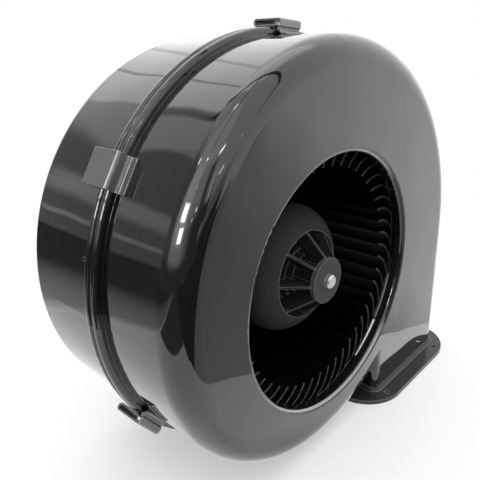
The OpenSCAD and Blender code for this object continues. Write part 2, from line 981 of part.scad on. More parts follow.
// Two carbon brushes.
module carbon_brushes() {
    color([0.13, 0.13, 0.14])
        place()
            for (a = [0, 180])
                rotate([0, 0, a])
                    difference() {
                        translate([comm_r - 1, -brush_w / 2, -brush_mid - brush_h / 2])
                            cube([brush_len + 1, brush_w, brush_h]);
                        rod(comm_r + brush_gap, brush_mid - comm_len, brush_mid + comm_len);
                    }
}

// Two folded leaf springs behind the brushes.
module brush_springs() {
    x0 = comm_r + brush_len;
    x1 = comm_r + 1.5 + holder_len - holder_t;
    step = (x1 - x0) / 4;
    t = 0.35;
    h = brush_w / 2 - 0.5;
    color([0.6, 0.6, 0.62])
        place()
            for (a = [0, 180])
                rotate([0, 0, a])
                    translate([0, 0, -brush_mid - brush_h / 4])
                        linear_extrude(height = brush_h / 2)
                            polygon([[x0, -h], [x0, -h + t], [x0 + step - t, h], [x0 + step, h],
                                [x0 + 2 * step, -h + 2 * t], [x0 + 3 * step, h], [x1 - t, h], [x1, h],
                                [x1, h - t], [x1 - t, h - t], [x0 + 3 * step, h - 2 * t],
                                [x0 + 2 * step, -h], [x0 + step, h - 2 * t], [x0 + t, -h]]);
}

// Two long bolts from the end cap to the can's front.
module through_bolts() {
    color([0.6, 0.6, 0.62])
        place()
            for (a = [90, 270])
                rotate([0, 0, a])
                    translate([bolt_ring, 0, 0]) {
                        rod(bolt_r, can_front + can_t, cap_back + 1);
                        rod(bolt_r * 1.9, cap_back, cap_back + 2.2);
                    }
}

// Open socket for the plug on the end cap.
module terminal_socket() {
    color([0.2, 0.2, 0.21])
        place()
            translate([-socket_at, 0, -cap_back - socket_len])
                difference() {
                    translate([-socket_h / 2, -socket_w / 2, 0])
                        cube([socket_h, socket_w, socket_len]);
                    translate([-socket_h / 2 + socket_t, -socket_w / 2 + socket_t, -socket_t])
                        cube([socket_h - 2 * socket_t, socket_w - 2 * socket_t, socket_len]);
                }
}

// Two blade contacts in the socket.
module terminal_blades() {
    color([0.8, 0.66, 0.36])
        place()
            translate([-socket_at, 0, -cap_back - socket_len])
                for (s = [-1, 1])
                    translate([-pin_w / 2, s * socket_w / 5 - pin_t / 2, socket_t])
                        cube([pin_w, pin_t, socket_len - 2 * socket_t]);
}

front_scroll_half();
rear_scroll_half();
outlet_flange();
clip_top();
clip_left();
clip_low_left();
clip_right();
clip_outlet();
motor_can();
field_magnets();
motor_flange();
motor_gasket();
motor_screws();
end_cap();
brush_card();
brush_holders();
carbon_brushes();
brush_springs();
front_bush();
rear_bush();
through_bolts();
terminal_socket();
terminal_blades();
blower_wheel();
motor_shaft();
armature_core();
armature_winding();
commutator();
thrust_washers();
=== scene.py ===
import math

import bpy
from mathutils import Matrix, Vector


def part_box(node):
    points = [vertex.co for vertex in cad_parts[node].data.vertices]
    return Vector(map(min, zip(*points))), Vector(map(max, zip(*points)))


# Packed blower
# The whole assembly comes in as fixed solids in metres, with the flange's underside on Z = 0
# and the fan's axis along Y.
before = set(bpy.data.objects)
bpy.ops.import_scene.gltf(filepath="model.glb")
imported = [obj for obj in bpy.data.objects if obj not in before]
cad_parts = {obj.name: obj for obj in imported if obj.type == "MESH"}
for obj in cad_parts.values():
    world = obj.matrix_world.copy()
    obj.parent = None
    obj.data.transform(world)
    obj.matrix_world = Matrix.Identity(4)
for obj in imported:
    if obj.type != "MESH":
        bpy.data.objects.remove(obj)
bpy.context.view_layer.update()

# Camera
# It stands at the front left of the inlet, higher than the fan's axis, and is tipped down at the blower.
# Its place, turns and lens are those that bring the housing's edges to where the photograph has them.
MM = 0.001
camera_place = Vector((-314.64, -203.09, 238.22)) * MM
camera_azimuth = math.radians(-45.77)
camera_drop = math.radians(21.75)
camera_roll = math.radians(-2.83)
sensor_mm = 36
lens_mm = 39.61
camera_data = bpy.data.cameras.new("studio_camera")
camera_data.sensor_width = sensor_mm
camera_data.lens = lens_mm
camera = bpy.data.objects.new("studio_camera", camera_data)
bpy.context.scene.collection.objects.link(camera)
camera.matrix_world = (
    Matrix.Translation(camera_place)
    @ Matrix.Rotation(camera_azimuth, 4, "Z")
    @ Matrix.Rotation(math.pi / 2 - camera_drop, 4, "X")
    @ Matrix.Rotation(camera_roll, 4, "Z")
)
bpy.context.scene.camera = camera


# Scroll halves
# Two injection moulded shells of black ABS from polished moulds, clipped together at a pair of beads.
# The front half carries the inlet's rolled lip, the rear half the motor.
def linear(colour):
    """An sRGB hex colour as linear red, green, blue and alpha."""
    parts = [int(colour[i : i + 2], 16) / 255 for i in (1, 3, 5)]
    return tuple(c / 12.92 if c <= 0.04045 else ((c + 0.055) / 1.055) ** 2.4 for c in parts) + (1.0,)


def add(tree, kind, inputs=None, **settings):
    """One node with its settings, input values and links."""
    made = tree.nodes.new(kind)
    for name, value in settings.items():
        setattr(made, name, value)
    for socket, value in (inputs or {}).items():
        if isinstance(value, bpy.types.NodeSocket):
            tree.links.new(value, made.inputs[socket])
        else:
            made.inputs[socket].default_value = value
    return made


def new_material(name):
    """An empty node material and its node tree."""
    material = bpy.data.materials.new(name)
    material.use_nodes = True
    material.node_tree.nodes.clear()
    return material, material.node_tree


def dress(material, *names):
    """Gives the named solids of the assembly one material."""
    for name in names:
        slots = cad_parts[name].data.materials
        slots.clear()
        slots.append(material)


def per_mm(size):
    """The texture scale that gives a pattern features of that size in millimetres."""
    return 1 / (size * MM)


# Wear starts and is complete where a corner's rounding turns the surface by angles of these cosines.
wear_start = 0.98
wear_full = 0.8


def worn_edge(tree, radius):
    """How far a place lies on a corner of that radius in mm, from 0 to 1, and the rounded normal there."""
    soft = add(tree, "ShaderNodeBevel", {"Radius": radius * MM}, samples=6).outputs["Normal"]
    flat = add(tree, "ShaderNodeNewGeometry").outputs["Normal"]
    match = add(tree, "ShaderNodeVectorMath", {0: soft, 1: flat}, operation="DOT_PRODUCT").outputs["Value"]
    edge = add(
        tree,
        "ShaderNodeMapRange",
        {"Value": match, "From Min": wear_start, "From Max": wear_full, "To Min": 0.0, "To Max": 1.0},
    )
    return edge.outputs["Result"], soft


shaft_low, shaft_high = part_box("motor_shaft")
fan_axis = Vector(((shaft_low.x + shaft_high.x) / 2, 0.0, (shaft_low.z + shaft_high.z) / 2))


def fan_radius(tree, place):
    """How far a place lies from the fan's axis, in metres."""
    out = add(tree, "ShaderNodeVectorMath", {0: place, 1: fan_axis}, operation="SUBTRACT")
    flat = add(tree, "ShaderNodeVectorMath", {0: out.outputs["Vector"], 1: (1, 0, 1)}, operation="MULTIPLY")
    return add(tree, "ShaderNodeVectorMath", {0: flat.outputs["Vector"]}, operation="LENGTH").outputs["Value"]


# A light line painted on the lip's inner edge, on the side away from the outlet: a painted highlight.
lip_radius = 74.2 * MM
lip_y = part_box("front_scroll_half")[0].y + 1.8 * MM
line_blur = 0.6 * MM
line_depth = 0.5 * MM
lip_highlight_end = fan_axis.x + 46 * MM
lip_highlight_fade = 12 * MM
lip_highlight = "#a8a8a9"

# Most of a noise's values lie between these two.
noise_low = 0.3
noise_high = 0.7

# Flow clouds and sunk waves are as wide as on such a shell. Its orange peel is about 1 mm wide, too fine for
# the render, so it is drawn coarser.
cloud_mm = 45
wave_mm = 55
peel_mm = 3.5
wave_depth = 0.9 * MM
peel_depth = 0.03 * MM


def gloss_abs(name, dark, light, rubbed, skin, haze_low, haze_high):
    """Black ABS moulded against polished steel: a mirror skin over a hazier body, scuffed at its corners,
    with a painted highlight line on the inlet's lip.
    """
    material, tree = new_material(name)
    place = add(tree, "ShaderNodeTexCoord").outputs["Object"]
    cloud = add(tree, "ShaderNodeTexNoise", {"Vector": place, "Scale": per_mm(cloud_mm), "Detail": 3.0})
    peel = add(tree, "ShaderNodeTexNoise", {"Vector": place, "Scale": per_mm(peel_mm), "Detail": 1.0})
    wave = add(tree, "ShaderNodeTexNoise", {"Vector": place, "Scale": per_mm(wave_mm), "Detail": 1.0})
    edge, soft = worn_edge(tree, radius=0.5)
    body = add(
        tree,
        "ShaderNodeMix",
        {0: cloud.outputs["Fac"], 6: linear(dark), 7: linear(light)},
        data_type="RGBA",
    )
    worn = add(tree, "ShaderNodeMix", {0: edge, 6: body.outputs[2], 7: linear(rubbed)}, data_type="RGBA")
    inside = add(
        tree,
        "ShaderNodeMapRange",
        {
            "Value": fan_radius(tree, place),
            "From Min": lip_radius + line_blur,
            "From Max": lip_radius,
            "To Min": 0,
            "To Max": 1,
        },
    )
    across, depth = add(tree, "ShaderNodeSeparateXYZ", {"Vector": place}).outputs[:2]
    ahead = add(
        tree,
        "ShaderNodeMapRange",
        {"Value": depth, "From Min": lip_y, "From Max": lip_y - line_depth, "To Min": 0, "To Max": 1},
    )
    ring = add(
        tree,
        "ShaderNodeMath",
        {0: inside.outputs["Result"], 1: ahead.outputs["Result"]},
        operation="MULTIPLY",
    )
    open_side = add(
        tree,
        "ShaderNodeMapRange",
        {"Value": across, "From Min": lip_highlight_end, "From Max": lip_highlight_end + lip_highlight_fade, "To Min": 1, "To Max": 0},
    )
    # The painted highlight on the lip's inner edge, fading out towards the outlet side.
    line = add(
        tree,
        "ShaderNodeMath",
        {0: ring.outputs["Value"], 1: open_side.outputs["Result"]},
        operation="MULTIPLY",
    )
    colour = add(
        tree,
        "ShaderNodeMix",
        {0: line.outputs["Value"], 6: worn.outputs[2], 7: linear(lip_highlight)},
        data_type="RGBA",
    )
    haze = add(
        tree,
        "ShaderNodeMapRange",
        {
            "Value": cloud.outputs["Fac"],
            "From Min": noise_low,
            "From Max": noise_high,
            "To Min": haze_low,
            "To Max": haze_high,
        },
    )
    sunk = add(
        tree,
        "ShaderNodeBump",
        {"Height": wave.outputs["Fac"], "Strength": 1.0, "Distance": wave_depth, "Normal": soft},
    )
    bump = add(
        tree,
        "ShaderNodeBump",
        {
            "Height": peel.outputs["Fac"],
            "Strength": 0.15,
            "Distance": peel_depth,
            "Normal": sunk.outputs["Normal"],
        },
    )
    shader = add(
        tree,
        "ShaderNodeBsdfPrincipled",
        {
            "Base Color": colour.outputs[2],
            "Roughness": haze.outputs["Result"],
            "IOR": 1.53,
            "Normal": bump.outputs["Normal"],
            "Coat Weight": skin,
            "Coat Roughness": 0.015,
            "Coat IOR": 1.53,
            "Coat Normal": sunk.outputs["Normal"],
        },
    )
    add(tree, "ShaderNodeOutputMaterial", {"Surface": shader.outputs["BSDF"]})
    return material


# To the eye it is black glass: it shows the studio sharply, in slightly wavy pictures.
housing_abs = gloss_abs(
    "black ABS gloss moulded",
    dark="#141415",
    light="#1b1b1c",
    rubbed="#2c2c2d",
    skin=1.0,
    haze_low=0.03,
    haze_high=0.07,
)
dress(housing_abs, "front_scroll_half", "rear_scroll_half")

# Outlet flange
# A separate moulded plate welded round the outlet, of the same ABS from a less polished tool.
# To the eye it is a shade greyer than the shells, with blurred highlights and light scuffed edges.
flange_abs = gloss_abs(
    "black ABS satin moulded",
    dark="#2a2a2b",
    light="#313132",
    rubbed="#949495",
    skin=0.0,
    haze_low=0.14,
    haze_high=0.24,
)
dress(flange_abs, "outlet_flange")


# Joint clips
# Spring steel strip, bent and phosphated grey, pushed over the two beads by hand.
# The coat's crystals are far under 0.1 mm, too fine for the render, so its grain is drawn coarser.
crystal_mm = 0.8
coat_patch_mm = 9
crystal_depth = 0.02 * MM


def phosphate_steel(name, dark, light, rubbed):
    """Bent steel strip with a grey conversion coat: fine grain, satin, rubbed bare along its edges."""
    material, tree = new_material(name)
    place = add(tree, "ShaderNodeTexCoord").outputs["Object"]
    grain = add(tree, "ShaderNodeTexNoise", {"Vector": place, "Scale": per_mm(crystal_mm), "Detail": 3.0})
    patch = add(tree, "ShaderNodeTexNoise", {"Vector": place, "Scale": per_mm(coat_patch_mm), "Detail": 2.0})
    edge, soft = worn_edge(tree, radius=0.35)
    body = add(
        tree,
        "ShaderNodeMix",
        {0: patch.outputs["Fac"], 6: linear(dark), 7: linear(light)},
        data_type="RGBA",
    )
    colour = add(tree, "ShaderNodeMix", {0: edge, 6: body.outputs[2], 7: linear(rubbed)}, data_type="RGBA")
    satin = add(
        tree,
        "ShaderNodeMapRange",
        {
            "Value": grain.outputs["Fac"],
            "From Min": noise_low,
            "From Max": noise_high,
            "To Min": 0.26,
            "To Max": 0.4,
        },
    )
    bump = add(
        tree,
        "ShaderNodeBump",
        {"Height": grain.outputs["Fac"], "Strength": 0.2, "Distance": crystal_depth, "Normal": soft},
    )
    shader = add(
        tree,
        "ShaderNodeBsdfPrincipled",
        {
            "Base Color": colour.outputs[2],
            "Roughness": satin.outputs["Result"],
            "Metallic": 0.75,
            "Normal": bump.outputs["Normal"],
        },
    )
    add(tree, "ShaderNodeOutputMaterial", {"Surface": shader.outputs["BSDF"]})
    return material


# To the eye it is a grey satin with broad soft highlights and bright bare edges.
clip_steel = phosphate_steel("spring steel phosphated", dark="#888889", light="#969697", rubbed="#dcdcdd")
dress(clip_steel, "clip_top", "clip_left", "clip_low_left", "clip_right", "clip_outlet")


# Blower wheel
# One moulding of black glass filled nylon: 48 blades, back plate, hub cup, ribs and nose disc.
# It is pressed on the shaft. Its fibre grain, about 0.1 mm, is too fine for the render and drawn coarser.
wheel_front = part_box("blower_wheel")[0].y
nose_back = wheel_front + 2.6 * MM
blade_front = wheel_front + 4.4 * MM
blade_radius = 62.0 * MM
hollow_radius = 23.5 * MM
fibre_mm = 0.7
mould_cloud_mm = 25
fibre_depth = 0.02 * MM

# Share of the painted shade colour on the hub's cup and in the hollow behind the nose. The blades have all of
# it.
hub_shade = 0.4
hollow_shade = 0.7


def dry_satin(name, dark, light, rubbed, low_rough, high_rough, shine=0.5, painted_shade_colour=None):
    """Moulded or pressed stuff with a dry satin skin, lighter at rubbed corners, with painted shade where a
    shade colour is given.
    """
    material, tree = new_material(name)
    place = add(tree, "ShaderNodeTexCoord").outputs["Object"]
    grain = add(tree, "ShaderNodeTexNoise", {"Vector": place, "Scale": per_mm(fibre_mm), "Detail": 2.0})
    cloud = add(tree, "ShaderNodeTexNoise", {"Vector": place, "Scale": per_mm(mould_cloud_mm), "Detail": 3.0})
    edge = worn_edge(tree, radius=0.4)[0]
    colour = add(
        tree,
        "ShaderNodeMix",
        {0: cloud.outputs["Fac"], 6: linear(dark), 7: linear(light)},
        data_type="RGBA",
    ).outputs[2]
    # Painted shade: the blades, the hub's cup and the hollow behind the nose are darkened towards the shade
    # colour.
    if painted_shade_colour:
        depth = add(tree, "ShaderNodeSeparateXYZ", {"Vector": place}).outputs["Y"]
        deep = add(tree, "ShaderNodeMath", {0: depth, 1: blade_front}, operation="GREATER_THAN")
        out = fan_radius(tree, place)
        bladed = add(tree, "ShaderNodeMath", {0: out, 1: blade_radius}, operation="GREATER_THAN")
        # Deep between the blades the edges get neither the wear colour nor the painted highlight that it
        # gives the blades' front edges.
        no_wear_or_highlight = add(
            tree,
            "ShaderNodeMath",
            {0: deep.outputs["Value"], 1: bladed.outputs["Value"]},
            operation="MULTIPLY",
        )
        behind = add(tree, "ShaderNodeMath", {0: depth, 1: nose_back}, operation="GREATER_THAN")
        within = add(tree, "ShaderNodeMath", {0: out, 1: hollow_radius}, operation="LESS_THAN")
        share = add(
            tree,
            "ShaderNodeMapRange",
            {"Value": within.outputs["Value"], "To Min": hub_shade, "To Max": hollow_shade},
        )
        hub = add(
            tree,
            "ShaderNodeMath",
            {0: behind.outputs["Value"], 1: share.outputs["Result"]},
            operation="MULTIPLY",
        )
        shade = add(
            tree,
            "ShaderNodeMath",
            {0: bladed.outputs["Value"], 1: hub.outputs["Value"]},
            operation="MAXIMUM",
        )
        colour = add(
            tree,
            "ShaderNodeMix",
            {0: shade.outputs["Value"], 6: colour, 7: linear(painted_shade_colour)},
            data_type="RGBA",
        ).outputs[2]
        edge = add(
            tree,
            "ShaderNodeMath",
            {0: edge, 1: no_wear_or_highlight.outputs["Value"]},
            operation="SUBTRACT",
            use_clamp=True,
        ).outputs["Value"]
    colour = add(tree, "ShaderNodeMix", {0: edge, 6: colour, 7: linear(rubbed)}, data_type="RGBA").outputs[2]
    satin = add(
        tree,
        "ShaderNodeMapRange",
        {
            "Value": cloud.outputs["Fac"],
            "From Min": noise_low,
            "From Max": noise_high,
            "To Min": low_rough,
            "To Max": high_rough,
        },
    )
    bump = add(
        tree,
        "ShaderNodeBump",
        {"Height": grain.outputs["Fac"], "Strength": 0.15, "Distance": fibre_depth},
    )
    shader = add(
        tree,
        "ShaderNodeBsdfPrincipled",
        {
            "Base Color": colour,
            "Roughness": satin.outputs["Result"],
            "IOR": 1.53,
            "Specular IOR Level": shine,
            "Normal": bump.outputs["Normal"],
        },
    )
    add(tree, "ShaderNodeOutputMaterial", {"Surface": shader.outputs["BSDF"]})
    return material


# To the eye it is a dull grey black on the nose, with painted shade that darkens the hub's cup and makes the
# hollow and the blades full black, and light edges that are partly wear and partly a painted highlight on the
# blades' front edges.
wheel_nylon = dry_satin(
    "black nylon moulded",
    dark="#525253",
    light="#5a5a5b",
    rubbed="#c6c6c7",
    low_rough=0.5,
    high_rough=0.62,
    shine=0.02,
    painted_shade_colour="#0d0d0e",
)
dress(wheel_nylon, "blower_wheel")


# Motor shaft
# An 8 mm ground steel rod pressed into the wheel's hub, chamfered at the tip.
def bare_metal(name, dark, light, low_rough, high_rough, grain_mm):
    """Bare or plated metal. Its tool grain is too fine for the render, so it is drawn coarser."""
    material, tree = new_material(name)
    place = add(tree, "ShaderNodeTexCoord").outputs["Object"]
    grain = add(tree, "ShaderNodeTexNoise", {"Vector": place, "Scale": per_mm(grain_mm), "Detail": 3.0})
    colour = add(
        tree,
        "ShaderNodeMix",
        {0: grain.outputs["Fac"], 6: linear(dark), 7: linear(light)},
        data_type="RGBA",
    )
    sheen = add(
        tree,
        "ShaderNodeMapRange",
        {
            "Value": grain.outputs["Fac"],
            "From Min": noise_low,
            "From Max": noise_high,
            "To Min": low_rough,
            "To Max": high_rough,
        },
    )
    shader = add(
        tree,
        "ShaderNodeBsdfPrincipled",
        {"Base Color": colour.outputs[2], "Roughness": sheen.outputs["Result"], "Metallic": 1.0},
    )
    add(tree, "ShaderNodeOutputMaterial", {"Surface": shader.outputs["BSDF"]})
    return material


# To the eye it is nearly white, with a soft even sheen.
shaft_steel = bare_metal("ground steel", "#e6e6e7", "#efeff0", low_rough=0.4, high_rough=0.5, grain_mm=4)
dress(shaft_steel, "motor_shaft")

# Motor shell
# The drawn can, its zinc plated mounting ring on a rubber gasket, and the screws into the rear half.
# The can is dull black with bare edges, the zinc a cool bright grey, the rubber a flat black.
can_steel = phosphate_steel("drawn steel phosphated black", "#2b2b2d", "#353537", "#6b6b6d")
dress(can_steel, "motor_can")
zinc_steel = bare_metal(
    "zinc plated steel",
    "#9fa1a4",
    "#b9babb",
    low_rough=0.25,
    high_rough=0.4,
    grain_mm=1.5,
)
dress(zinc_steel, "motor_flange", "motor_screws", "through_bolts")
gasket_rubber = dry_satin(
    "black rubber moulded",
    "#161616",
    "#1d1d1d",
    "#2a2a2a",
    low_rough=0.6,
    high_rough=0.75,
)
dress(gasket_rubber, "motor_gasket")

# Motor end
# A black nylon end cap over the brushes, bolted to the can, with an open plug socket and two brass blades.
# The spark eroded mould gives the cap a fine dull skin, and the rolled brass is a warm yellow gleam.
cap_nylon = dry_satin("black nylon sparked", "#1b1b1c", "#242425", "#4a4a4b", low_rough=0.45, high_rough=0.58)
dress(cap_nylon, "end_cap", "terminal_socket")
brass = bare_metal("rolled brass", "#b8954c", "#c9a75c", low_rough=0.25, high_rough=0.38, grain_mm=0.9)
dress(brass, "terminal_blades", "brush_holders")

# Motor inside
# Stacked laminations, wound copper, ferrite, carbon, sintered bronze and fibre board, closed in by the can.
# The metals gleam in grey, red and brown, and the pressed stuffs are dull.
core_steel = bare_metal(
    "lamination steel stacked",
    "#6d6f73",
    "#85878b",
    low_rough=0.35,
    high_rough=0.5,
    grain_mm=0.5,
)
dress(core_steel, "armature_core")
copper = bare_metal(
    "enamelled copper wound",
    "#a5562c",
    "#c06d3c",
    low_rough=0.25,
    high_rough=0.4,
    grain_mm=0.8,
)
dress(copper, "armature_winding", "commutator")
spring_steel = bare_metal(
    "spring steel rolled",
    "#8d8f92",
    "#a3a5a8",
    low_rough=0.25,
    high_rough=0.4,
    grain_mm=0.6,
)
dress(spring_steel, "brush_springs")
bronze = bare_metal("bronze sintered", "#8f6f45", "#a88556", low_rough=0.45, high_rough=0.6, grain_mm=0.4)
dress(bronze, "front_bush", "rear_bush")
ferrite = dry_satin("ferrite pressed", "#2c2b2c", "#373637", "#4c4b4c", low_rough=0.6, high_rough=0.75)
dress(ferrite, "field_magnets")
carbon = dry_satin("carbon pressed", "#1c1c1d", "#262627", "#3a3a3b", low_rough=0.5, high_rough=0.65)
dress(carbon, "carbon_brushes")
fibre = dry_satin("fibre board pressed", "#5e3f22", "#74502e", "#8f6a44", low_rough=0.6, high_rough=0.75)
dress(fibre, "brush_card", "thrust_washers")


# Floor
# A round sheet of thin white paper under the blower, which fades into the white of the studio.
# Matt paper gives the eye only the blower's soft shadow.
paper_middle = Vector((-0.09, 0.02, -0.2 * MM))
paper_reach = 0.26
paper_fade = 0.20
paper_body = 0.6
paper_sides = 64
paper, paper_tree = new_material("white paper matt")
paper_place = add(paper_tree, "ShaderNodeTexCoord").outputs["Object"]
paper_out = add(paper_tree, "ShaderNodeVectorMath", {0: paper_place}, operation="LENGTH").outputs["Value"]
paper_cover = add(
    paper_tree,
    "ShaderNodeMapRange",
    {
        "Value": paper_out,
        "From Min": paper_reach - paper_fade,
        "From Max": paper_reach,
        "To Min": paper_body,
        "To Max": 0.0,
    },
    interpolation_type="SMOOTHSTEP",
).outputs["Result"]
paper_white = add(paper_tree, "ShaderNodeBsdfDiffuse", {"Color": linear("#fcfcfc")}).outputs["BSDF"]
paper_clear = add(paper_tree, "ShaderNodeBsdfTransparent").outputs["BSDF"]
paper_mix = add(paper_tree, "ShaderNodeMixShader", {0: paper_cover, 1: paper_clear, 2: paper_white})
add(paper_tree, "ShaderNodeOutputMaterial", {"Surface": paper_mix.outputs["Shader"]})
paper_turns = [math.tau * k / paper_sides for k in range(paper_sides)]
paper_rim = [(paper_reach * math.cos(turn), paper_reach * math.sin(turn), 0) for turn in paper_turns]
paper_mesh = bpy.data.meshes.new("floor")
paper_mesh.from_pydata(paper_rim, [], [tuple(range(paper_sides))])
paper_mesh.materials.append(paper)
floor = bpy.data.objects.new("floor", paper_mesh)
floor.location = paper_middle
bpy.context.scene.collection.objects.link(floor)


# Studio boards
# Cloths, curtains, rails and bright window panes round the blower, out of the camera's sight, which give the
# gloss something to mirror. They are sheets that glow evenly and throw no light or shadow on the blower.
def glow_material(name, glow):
    """An even glow that feathers out by the sheet's own cover value."""
    material, tree = new_material(name)
    cover = add(tree, "ShaderNodeAttribute", attribute_name="cover").outputs["Fac"]
    light = add(tree, "ShaderNodeEmission", {"Strength": glow}).outputs["Emission"]
    clear = add(tree, "ShaderNodeBsdfTransparent").outputs["BSDF"]
    mixed = add(tree, "ShaderNodeMixShader", {0: cover, 1: clear, 2: light})
    add(tree, "ShaderNodeOutputMaterial", {"Surface": mixed.outputs["Shader"]})
    return material


def feather(value, low, high, soft_low, soft_high):
    """How much of a sheet covers a place between its two ends, with soft ends."""
    rise = min((value - low) / soft_low, 1.0) if soft_low else 1.0
    fall = min((high - value) / soft_high, 1.0) if soft_high else 1.0
    return rise * rise * (3 - 2 * rise) * fall * fall * (3 - 2 * fall)


def steps(low, high, size):
    """Even steps from low to high, none longer than size."""
    count = max(1, math.ceil((high - low) / size))
    return [low + (high - low) * i / count for i in range(count + 1)]


def mirror_sheet(name, across, up, point, cover, glow):
    """A glowing staged sheet over a grid, which only gloss sees."""
    corners = [(a, b) for b in up for a in across]
    wide = len(across)
    faces = [
        (j * wide + i, j * wide + i + 1, (j + 1) * wide + i + 1, (j + 1) * wide + i)
        for j in range(len(up) - 1)
        for i in range(wide - 1)
    ]
    mesh = bpy.data.meshes.new(name)
    mesh.from_pydata([point(a, b) for a, b in corners], [], faces)
    values = mesh.attributes.new("cover", "FLOAT", "POINT")
    for k, (a, b) in enumerate(corners):
        values.data[k].value = cover(a, b)
    mesh.materials.append(glow_material(name, glow))
    made = bpy.data.objects.new(name, mesh)
    bpy.context.scene.collection.objects.link(made)
    made.visible_camera = False
    made.visible_diffuse = False
    made.visible_shadow = False
    made.visible_transmission = False


# Boards stand on spheres round this place, with the nearer ones in front.
board_middle = Vector((-0.07, 0.0, 0.1))


def board(name, turn, height, glow, soft, reach):
    """A board over a range of directions, from +Y towards +X and upwards, all in degrees, with soft edges."""

    def point(a, b):
        a, b = math.radians(a), math.radians(b)
        way = Vector((math.sin(a) * math.cos(b), math.cos(a) * math.cos(b), math.sin(b)))
        return board_middle + way * reach

    def cover(a, b):
        return feather(a, *turn, *soft[:2]) * feather(b, *height, *soft[2:])

    step = min([1.0, *(edge / 2 for edge in soft if edge)])
    mirror_sheet(name, steps(*turn, 2 * step), steps(*height, step), point, cover, glow)


# The table's cloths lie in its own directions, turned from the blower's, as layers with a small step between.
table_turn = math.radians(24.7)
layer_step = 0.1 * MM
cloth_grid = 0.05


def cloth(name, across, along, glow, soft, layer, slant=0.0):
    """A cloth over part of the table, with soft edges in metres, and sides that may run at a slant."""

    def point(a, b):
        cosine, sine = math.cos(table_turn), math.sin(table_turn)
        a += slant * (along[1] - b)
        return (cosine * a - sine * b, sine * a + cosine * b, layer * layer_step)

    def cover(a, b):
        return feather(a, *across, *soft[:2]) * feather(b, *along, *soft[2:])

    mirror_sheet(name, steps(*across, cloth_grid), steps(*along, cloth_grid), point, cover, glow)


# Rails hang under the ceiling. Their ends and sides are soft over these shares of length and half width.
rail_glow = 0.02
rail_soft_end = 0.04
rail_soft_side = 0.5


def rail(name, start, end, width, height):
    """A straight dark rail between two places seen from above."""
    first = Vector((*start, height))
    along = Vector((*end, height)) - first
    side = Vector((-along.y, along.x, 0)).normalized() * width / 2

    def point(a, b):
        return first + along * a + side * b

    def cover(a, b):
        ends = feather(a, 0, 1, rail_soft_end, rail_soft_end)
        return ends * feather(b, -1, 1, rail_soft_side, rail_soft_side)

    lengthwise = steps(0, 1, rail_soft_end / 2)
    sideways = steps(-1, 1, rail_soft_side / 2)
    mirror_sheet(name, lengthwise, sideways, point, cover, rail_glow)


rail("long_rail", start=(-0.30, 1.74), end=(0.76, -1.60), width=0.10, height=1.8)
rail("short_rail", start=(-0.27, 1.66), end=(0.03, 1.51), width=0.04, height=1.82)
rail("far_rail", start=(0.70, -1.38), end=(0.74, -2.75), width=0.09, height=1.82)
rail("cross_rail", start=(0.20, 0.20), end=(-1.10, -0.20), width=0.06, height=1.81)

# Edges of the table and of the cloth in front of it, and how far the outer cloths go.
table_left = -0.4
table_front = -0.0945
table_back = 0.3
front_left = -0.253
far = 2.5
cloth("back_base", across=(-far, far), along=(table_back, far), glow=0.45, soft=(0, 0, 0.02, 0), layer=3)
cloth("back_cloth", across=(-far, far), along=(0.31, far), glow=0.06, soft=(0, 0, 0.45, 0), layer=6)
cloth(
    "left_cloth",
    across=(-far, table_left),
    along=(table_front, table_back),
    glow=0.1,
    soft=(0, 0, 0, 0),
    layer=9,
)
cloth(
    "table_top",
    across=(table_left, 0.02),
    along=(table_front, table_back),
    glow=0.88,
    soft=(0, 0.1, 0, 0),
    layer=12,
)
cloth(
    "under_shade",
    across=(-0.215, -0.02),
    along=(-0.035, 0.11),
    glow=0.36,
    soft=(0.08, 0.06, 0.05, 0.04),
    layer=14,
)
cloth(
    "table_light",
    across=(-0.08, 0.6),
    along=(table_front, 0.12),
    glow=1.18,
    soft=(0.06, 0.3, 0, 0.05),
    layer=15,
)
cloth(
    "front_side",
    across=(-0.2, 0.2),
    along=(-far, table_front),
    glow=0.55,
    soft=(0, 0.28, 0, 0.3),
    layer=17,
    slant=0.28,
)
cloth(
    "front_cloth",
    across=(front_left, 0.07),
    along=(-far, table_front),
    glow=0.4,
    soft=(0, 0.12, 0, 0),
    layer=18,
)
cloth(
    "camera_cloth",
    across=(-far, front_left),
    along=(-far, table_front),
    glow=0.03,
    soft=(0, 0, 0, 0),
    layer=21,
)

# Ceiling, walls and curtains, with the seams in the back wall.
board("ceiling", turn=(-160, -40), height=(46, 86), glow=1.35, soft=(20, 25, 10, 6), reach=3.04)
board("high_light", turn=(0, 115), height=(48, 86), glow=1.75, soft=(6, 30, 8, 6), reach=3.02)
board("back_light", turn=(-3, 60), height=(8, 56), glow=1.28, soft=(2, 16, 6, 6), reach=3.0)
board("back_wall", turn=(-76, -2), height=(-6, 56), glow=0.26, soft=(10, 2, 1, 12), reach=2.98)
board("back_fade", turn=(-23.5, -1), height=(26.5, 56), glow=0.76, soft=(2, 2, 5, 10), reach=2.96)
board("back_high", turn=(-38, -21), height=(37.4, 56), glow=0.66, soft=(6, 3, 1.2, 8), reach=2.95)
board("back_patch", turn=(-46, -24), height=(11, 20), glow=0.68, soft=(3, 3, 4, 2), reach=2.94)
board("back_line", turn=(-48, -27), height=(5.2, 7.4), glow=0.62, soft=(2, 4, 0.6, 0.6), reach=2.92)
board("right_foot", turn=(10, 80), height=(-8, 5), glow=0.3, soft=(10, 15, 0, 4), reach=2.9)
board("back_foot", turn=(-76, -20), height=(-6, 1), glow=0.06, soft=(8, 4, 0, 1), reach=2.9)
board("seam_a", turn=(30.5, 33), height=(8, 50), glow=0.95, soft=(0.6, 0.6, 0, 0), reach=2.88)
board("seam_b", turn=(15.8, 17.8), height=(8, 50), glow=0.7, soft=(0.6, 0.6, 0, 0), reach=2.88)
board("seam_c", turn=(-9, -2.5), height=(38.5, 48), glow=0.36, soft=(2.5, 1.5, 1, 3), reach=2.88)
